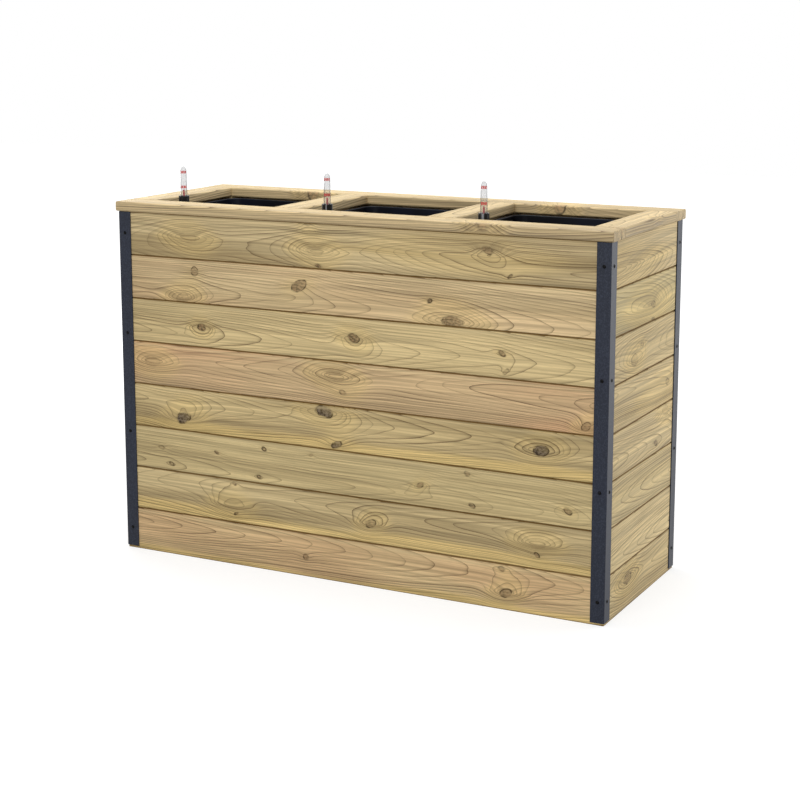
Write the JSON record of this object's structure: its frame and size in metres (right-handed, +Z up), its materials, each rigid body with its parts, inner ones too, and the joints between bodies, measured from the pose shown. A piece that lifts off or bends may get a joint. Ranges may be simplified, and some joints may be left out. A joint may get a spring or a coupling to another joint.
{
  "type": "self-watering wooden planter",
  "caption": "Long floor planter of pine boards with steel corner angles and a rounded top frame; black liners with water reservoirs and float level indicators stand in its openings.",
  "frame": {"origin": "on the floor, under the centre of the planter", "axes": "+X along the planter, +Y from front to back, +Z up"},
  "size_m": [1.15, 0.43, 0.854],
  "materials": {
    "wall_pine": "planed, pressure-treated, matte",
    "frame_pine": "planed, rounded edges, matte",
    "inner_timber": "sawn, matte",
    "angle_steel": "satin black powder coat",
    "screw_black": "black, semi-gloss",
    "liner_plastic": "satin moulded plastic",
    "collar_plastic": "satin moulded plastic",
    "clear_plastic": "clear, glossy",
    "float_red": "glossy"
  },
  "bodies": {
    "carcass": {"front_board_1": "wall_pine", "front_board_2": "wall_pine", "front_board_3": "wall_pine", "front_board_4": "wall_pine", "front_board_5": "wall_pine", "front_board_6": "wall_pine", "front_board_7": "wall_pine", "front_board_8": "wall_pine", "back_board_1": "wall_pine", "back_board_2": "wall_pine", "back_board_3": "wall_pine", "back_board_4": "wall_pine", "back_board_5": "wall_pine", "back_board_6": "wall_pine", "back_board_7": "wall_pine", "back_board_8": "wall_pine", "left_board_1": "wall_pine", "left_board_2": "wall_pine", "left_board_3": "wall_pine", "left_board_4": "wall_pine", "left_board_5": "wall_pine", "left_board_6": "wall_pine", "left_board_7": "wall_pine", "left_board_8": "wall_pine", "right_board_1": "wall_pine", "right_board_2": "wall_pine", "right_board_3": "wall_pine", "right_board_4": "wall_pine", "right_board_5": "wall_pine", "right_board_6": "wall_pine", "right_board_7": "wall_pine", "right_board_8": "wall_pine", "front_left_angle": "angle_steel", "front_right_angle": "angle_steel", "back_right_angle": "angle_steel", "back_left_angle": "angle_steel", "angle_screws": "screw_black", "front_rail": "frame_pine", "back_rail": "frame_pine", "left_end_rail": "frame_pine", "left_cross_bar": "frame_pine", "right_cross_bar": "frame_pine", "right_end_rail": "frame_pine", "inner_battens": "inner_timber", "shelf_slats": "inner_timber"},
    "left_tub": {"left_liner": "liner_plastic", "left_reservoir_plate": "liner_plastic", "left_indicator_pipe": "collar_plastic", "left_sight_tube": "clear_plastic"},
    "left_gauge": {"left_float": "float_red"},
    "middle_tub": {"middle_liner": "liner_plastic", "middle_reservoir_plate": "liner_plastic", "middle_indicator_pipe": "collar_plastic", "middle_sight_tube": "clear_plastic"},
    "middle_gauge": {"middle_float": "float_red"},
    "right_tub": {"right_liner": "liner_plastic", "right_reservoir_plate": "liner_plastic", "right_indicator_pipe": "collar_plastic", "right_sight_tube": "clear_plastic"},
    "right_gauge": {"right_float": "float_red"}
  },
  "joints": [
    {"name": "left_liner_lift", "type": "slide", "parent": "carcass", "child": "left_tub", "axis": [0, 0, 1], "range_m": [0, 0.34]},
    {"name": "left_float_rise", "type": "slide", "parent": "left_tub", "child": "left_gauge", "axis": [0, 0, 1], "range_m": [0, 0.041]},
    {"name": "middle_liner_lift", "type": "slide", "parent": "carcass", "child": "middle_tub", "axis": [0, 0, 1], "range_m": [0, 0.34]},
    {"name": "middle_float_rise", "type": "slide", "parent": "middle_tub", "child": "middle_gauge", "axis": [0, 0, 1], "range_m": [0, 0.041]},
    {"name": "right_liner_lift", "type": "slide", "parent": "carcass", "child": "right_tub", "axis": [0, 0, 1], "range_m": [0, 0.34]},
    {"name": "right_float_rise", "type": "slide", "parent": "right_tub", "child": "right_gauge", "axis": [0, 0, 1], "range_m": [0, 0.041]}
  ]
}
